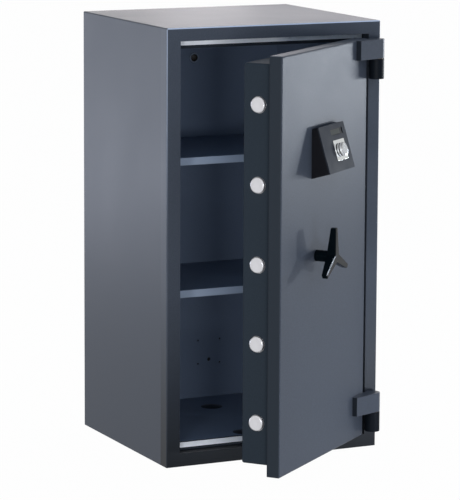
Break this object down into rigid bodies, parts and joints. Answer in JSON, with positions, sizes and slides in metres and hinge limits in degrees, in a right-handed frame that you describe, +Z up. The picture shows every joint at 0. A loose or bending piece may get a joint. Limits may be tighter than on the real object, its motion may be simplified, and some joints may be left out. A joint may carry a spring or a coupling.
{
  "type": "security safe",
  "caption": "Free-standing steel safe with a swung door, handle-thrown locking bolts, tilted lock unit, shelves and a cable hole.",
  "frame": {"origin": "centre of the base, on the floor plane", "axes": "+Z up, the door opening faces -Y, the hinges are on the +X side"},
  "size_m": [0.538, 0.7854, 1],
  "materials": {
    "body_paint": "satin, finely textured",
    "liner_paint": "satin, finely textured",
    "door_paint": "satin, finely textured",
    "barrier": "rough, cast",
    "steel": "brushed",
    "hard_steel": "ground",
    "brass": "satin",
    "seal": "matte",
    "plug_plastic": "satin",
    "grommet_plastic": "satin",
    "handle_paint": "semi-gloss",
    "lock_case": "fine grain",
    "lock_face": "fine grain",
    "display": "gloss",
    "chrome": "polished",
    "board": "gloss",
    "battery": "gloss"
  },
  "bodies": {
    "safe_body": {"frame_head": "body_paint", "frame_sill": "body_paint", "frame_bolt_jamb": "body_paint", "frame_hinge_jamb": "body_paint", "outer_top": "body_paint", "outer_base": "body_paint", "outer_bolt_side": "body_paint", "outer_hinge_side": "body_paint", "outer_back": "body_paint", "hinge_knuckle_lower": "body_paint", "hinge_knuckle_upper": "body_paint", "liner_floor": "liner_paint", "liner_ceiling": "liner_paint", "liner_bolt_side": "liner_paint", "liner_hinge_side": "liner_paint", "liner_back": "liner_paint", "bolt_channel": "liner_paint", "dog_channel": "liner_paint", "upper_shelf": "liner_paint", "lower_shelf": "liner_paint", "shelf_brackets": "liner_paint", "barrier_fill": "barrier", "seal_top": "seal", "seal_bottom": "seal", "seal_hinge_side": "seal", "anchor_plugs": "plug_plastic", "cable_grommet": "grommet_plastic", "hinge_pin_lower": "steel", "hinge_pin_upper": "steel", "hinge_washers": "brass"},
    "door": {"door_pan": "door_paint", "door_back_plate": "door_paint", "hinge_arm_lower": "door_paint", "hinge_arm_upper": "door_paint", "bolt_case": "door_paint", "case_cover": "door_paint", "door_fill": "barrier", "hard_plate": "hard_steel", "cover_screws": "steel", "dog_bar": "steel", "bolt_guide": "steel", "spindle_bush": "brass", "lock_body": "steel", "lock_housing": "lock_case", "lock_fascia": "lock_face", "lock_display": "display", "dial_plate": "steel", "lock_board": "board", "lock_battery": "battery"},
    "bolt_work": {"locking_bolt_1": "steel", "locking_bolt_2": "steel", "locking_bolt_3": "steel", "locking_bolt_4": "steel", "locking_bolt_5": "steel", "bolt_carrier": "steel", "bolt_nuts": "steel"},
    "handle": {"handle": "handle_paint", "handle_spindle": "steel"},
    "latch": {"lock_latch": "steel"},
    "knob": {"lock_knob": "chrome"}
  },
  "joints": [
    {"name": "door_hinge", "type": "hinge", "parent": "safe_body", "child": "door", "pos_m": [0.25, -0.258, 0.5], "axis": [0, 0, 1], "range_deg": [-38.8, 131.2]},
    {"name": "bolt_throw", "type": "slide", "parent": "door", "child": "bolt_work", "axis": [-0.7793, -0.6266, 0], "range_m": [0, 0.028]},
    {"name": "handle_turn", "type": "hinge", "parent": "door", "child": "handle", "pos_m": [0.01038, -0.42757, 0.5], "axis": [0.6266, -0.7793, 0], "range_deg": [0, 90]},
    {"name": "latch_drop", "type": "slide", "parent": "door", "child": "latch", "axis": [0, 0, -1], "range_m": [0, 0.01]},
    {"name": "knob_turn", "type": "hinge", "parent": "door", "child": "knob", "pos_m": [0.0748, -0.41672, 0.73274], "axis": [0.6008, -0.7472, 0.284], "continuous": true}
  ],
  "couplings": [
    {"joint": "handle_turn", "follows": "bolt_throw", "rad_per_m": 56.09}
  ]
}
